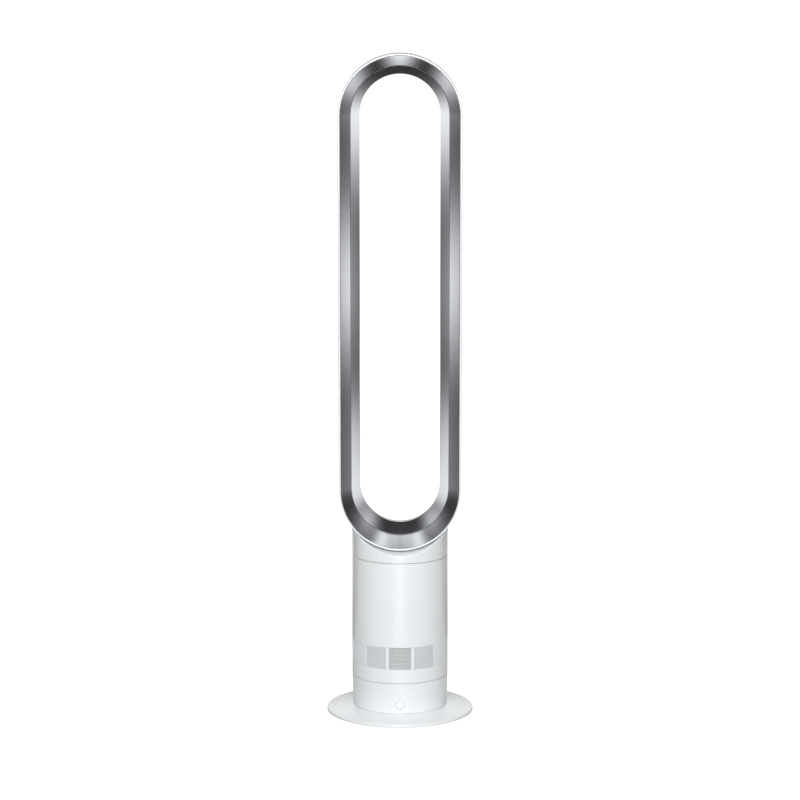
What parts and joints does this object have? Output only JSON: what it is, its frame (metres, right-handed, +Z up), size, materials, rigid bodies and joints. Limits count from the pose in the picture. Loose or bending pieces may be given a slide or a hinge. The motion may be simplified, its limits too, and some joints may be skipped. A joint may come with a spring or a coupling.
{
  "type": "tower fan",
  "caption": "Tall bladeless tower fan: an open oblong loop nozzle with silver inner faces on a round white column that swivels on a flat disc foot.",
  "frame": {"origin": "on the floor under the middle of the round foot", "axes": "+Z up, front of the fan towards -Y, +X to the right seen from the front"},
  "size_m": [0.2252, 0.2252, 1.007],
  "materials": {
    "white_shell": "satin gloss moulding",
    "silver_ring": "satin metallic silver coating",
    "grey_plastic": "plain moulding",
    "dark_plastic": "plain moulding",
    "natural_plastic": "natural acetal",
    "circuit_board": "solder mask",
    "weight_steel": "zinc plated",
    "bright_steel": "bright plated",
    "winding": "enamelled copper winding on a laminated core",
    "rubber": "matt",
    "foam": "open cell foam"
  },
  "bodies": {
    "base": {"foot_disc": "white_shell", "foot_weight": "weight_steel", "foot_pad_1": "rubber", "foot_pad_2": "rubber", "foot_pad_3": "rubber", "foot_pad_4": "rubber", "base_screw_1": "bright_steel", "base_screw_2": "bright_steel", "base_screw_3": "bright_steel", "control_housing": "white_shell", "pivot_deck": "grey_plastic", "deck_screw_1": "bright_steel", "deck_screw_2": "bright_steel", "deck_screw_3": "bright_steel", "deck_screw_4": "bright_steel", "glide_ring": "natural_plastic", "button_guide": "grey_plastic", "button_dome": "rubber", "tact_switch": "dark_plastic", "control_board": "circuit_board", "display_module": "dark_plastic", "ir_receiver": "dark_plastic", "power_socket": "dark_plastic", "supply_board": "circuit_board", "supply_capacitor": "dark_plastic", "supply_transformer": "winding", "swivel_motor": "weight_steel"},
    "button": {"power_button": "white_shell"},
    "pinion": {"swivel_pinion": "natural_plastic"},
    "upper": {"turntable": "grey_plastic", "swivel_gear": "natural_plastic", "pivot_clip": "weight_steel", "table_screw_1": "bright_steel", "table_screw_2": "bright_steel", "table_screw_3": "bright_steel", "column_shell": "white_shell", "inlet_cone": "grey_plastic", "fan_casing": "grey_plastic", "motor_bucket": "grey_plastic", "motor_stator": "winding", "bearing_low": "bright_steel", "bearing_high": "bright_steel", "motor_bracket": "grey_plastic", "driver_board": "circuit_board", "motor_cap": "grey_plastic", "acoustic_foam": "foam", "isolation_ring": "rubber", "air_duct": "grey_plastic", "joint_ring": "grey_plastic", "neck_collar": "white_shell", "loop_shell": "white_shell", "outer_ring": "silver_ring", "inner_ring": "silver_ring", "flow_splitter": "grey_plastic", "loop_seal": "rubber", "loop_screw_1": "bright_steel", "loop_screw_2": "bright_steel"},
    "wheel": {"impeller": "dark_plastic", "motor_shaft": "bright_steel", "motor_rotor": "weight_steel"}
  },
  "joints": [
    {"name": "swivel", "type": "hinge", "parent": "base", "child": "upper", "pos_m": [0, 0, 0.0584], "axis": [0, 0, 1], "range_deg": [-35, 35]},
    {"name": "pinion_spin", "type": "hinge", "parent": "base", "child": "pinion", "pos_m": [0, 0.03375, 0.0495], "axis": [0, 0, 1], "range_deg": [-72, 72]},
    {"name": "wheel_spin", "type": "hinge", "parent": "upper", "child": "wheel", "pos_m": [0, 0, 0.14], "axis": [0, 0, 1], "continuous": true},
    {"name": "button_press", "type": "slide", "parent": "base", "child": "button", "axis": [0, 1, 0], "range_m": [0, 0.0012], "stiffness_N_per_m": 400, "springref_m": -0.0005}
  ],
  "couplings": [
    {"joint": "pinion_spin", "follows": "swivel", "ratio": -2}
  ]
}
